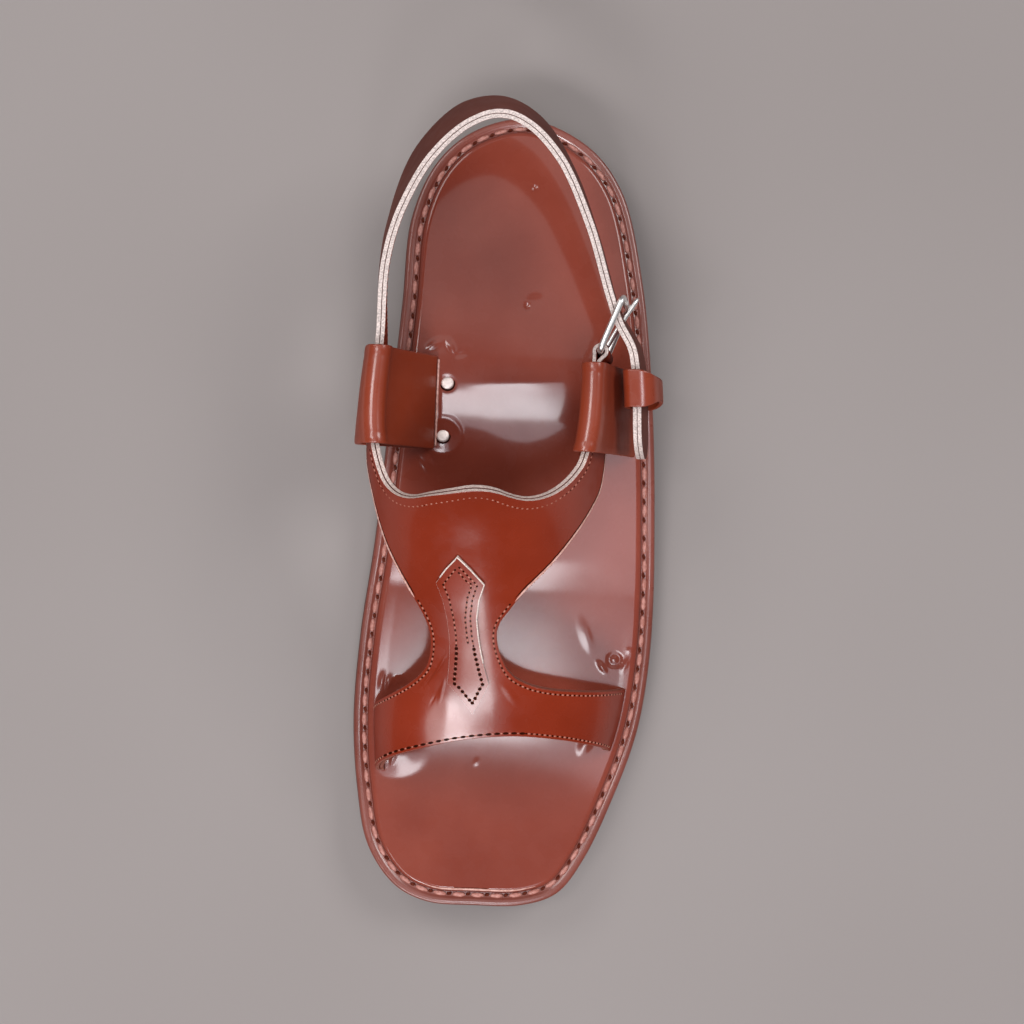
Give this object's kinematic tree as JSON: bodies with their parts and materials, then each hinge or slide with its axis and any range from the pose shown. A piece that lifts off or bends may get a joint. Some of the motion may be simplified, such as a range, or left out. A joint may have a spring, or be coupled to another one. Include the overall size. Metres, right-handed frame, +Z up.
{
  "type": "kohati chappal",
  "caption": "Man's leather T-strap sandal with a heel strap, side loops and side buckle, on a stitched welted sole with a low heel.",
  "frame": {"origin": "centre of the heel block's ground face", "axes": "+Z up, toe towards -Y, heel towards +Y, outer side of the left foot towards +X"},
  "size_m": [0.1098, 0.2822, 0.0821],
  "materials": {
    "sole_rubber": "satin, dark brown",
    "heel_rubber": "satin, dark brown",
    "welt_leather": "waxed",
    "insole_leather": "glossy",
    "upper_leather": "high gloss",
    "buckle_metal": "bright plated",
    "tack_metal": "bright"
  },
  "bodies": {
    "root": {"outsole": "sole_rubber", "heel_block": "heel_rubber", "welt": "welt_leather", "insole": "insole_leather", "vamp": "upper_leather", "vamp_overlay": "upper_leather", "inner_loop": "upper_leather", "outer_loop": "upper_leather", "back_strap": "upper_leather", "buckle_fold": "upper_leather", "keeper": "upper_leather", "buckle_frame": "buckle_metal", "buckle_prong": "buckle_metal", "tack_rear": "tack_metal", "tack_front": "tack_metal"}
  },
  "joints": []
}
